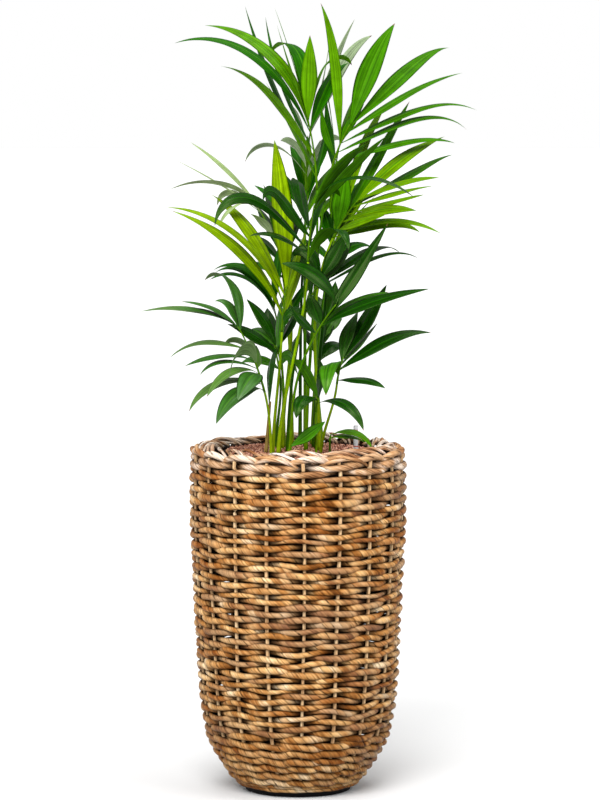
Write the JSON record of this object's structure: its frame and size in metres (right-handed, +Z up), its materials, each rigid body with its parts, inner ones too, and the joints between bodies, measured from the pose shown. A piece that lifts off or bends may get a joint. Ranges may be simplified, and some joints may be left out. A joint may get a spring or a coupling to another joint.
{
  "type": "potted kentia palm",
  "caption": "Potted kentia palm: slender stalks with long drooping leaflets, standing in clay granules in a tall round woven basket planter.",
  "frame": {"origin": "centre of the planter's flat underside, on the floor it stands on", "axes": "+Z up through the planter to the top of the crown; +Y runs from the side seen best towards the back; +X to the right of that view"},
  "size_m": [0.6323, 0.5212, 1.4874],
  "materials": {
    "woven_rope": "matte twisted leaf rope",
    "rim_rope": "matte twisted leaf rope",
    "plaited_strands": "matte dry leaf strands",
    "black_plastic": "satin",
    "clay_granules": "rough unglazed",
    "clear_plastic": "clear gloss",
    "green_stalk": "waxy satin",
    "dry_stalk": "dry matte",
    "leaf_bright": "waxy satin",
    "leaf_yellow": "waxy satin",
    "leaf_mid": "waxy satin",
    "leaf_deep": "waxy gloss",
    "leaf_grey": "waxy satin",
    "leaf_pale": "waxy matte",
    "leaf_light": "waxy gloss"
  },
  "bodies": {
    "root": {"basket_rim": "rim_rope", "basket_wall": "woven_rope", "cut_stub": "dry_stalk", "frond_back_centre": "leaf_mid", "frond_back_left": "leaf_deep", "frond_back_low_left": "leaf_deep", "frond_back_low_right": "leaf_deep", "frond_back_right": "leaf_mid", "frond_back_top": "leaf_pale", "frond_bright_left": "leaf_yellow", "frond_front_fold": "leaf_deep", "frond_front_high": "leaf_deep", "frond_front_mid": "leaf_deep", "frond_left_back": "leaf_mid", "frond_left_grey": "leaf_grey", "frond_left_inner": "leaf_deep", "frond_low_fold": "leaf_deep", "frond_low_front": "leaf_deep", "frond_low_left": "leaf_light", "frond_low_right": "leaf_mid", "frond_right_high": "leaf_bright", "frond_right_low": "leaf_deep", "frond_right_mid": "leaf_bright", "frond_top_left": "leaf_mid", "frond_top_spear": "leaf_mid", "gauge_foot": "clear_plastic", "gauge_tube": "clear_plastic", "granule_fill": "clay_granules", "planter_liner": "black_plastic", "rim_plait": "plaited_strands", "stalk_back_centre": "green_stalk", "stalk_back_left": "green_stalk", "stalk_back_low_left": "green_stalk", "stalk_back_low_right": "green_stalk", "stalk_back_right": "green_stalk", "stalk_back_top": "green_stalk", "stalk_bright_left": "green_stalk", "stalk_front_fold": "green_stalk", "stalk_front_high": "green_stalk", "stalk_front_mid": "green_stalk", "stalk_left_back": "green_stalk", "stalk_left_grey": "green_stalk", "stalk_left_inner": "green_stalk", "stalk_low_fold": "green_stalk", "stalk_low_front": "green_stalk", "stalk_low_left": "green_stalk", "stalk_low_right": "green_stalk", "stalk_right_high": "green_stalk", "stalk_right_low": "green_stalk", "stalk_right_mid": "green_stalk", "stalk_top_left": "green_stalk", "stalk_top_spear": "green_stalk"}
  },
  "joints": []
}
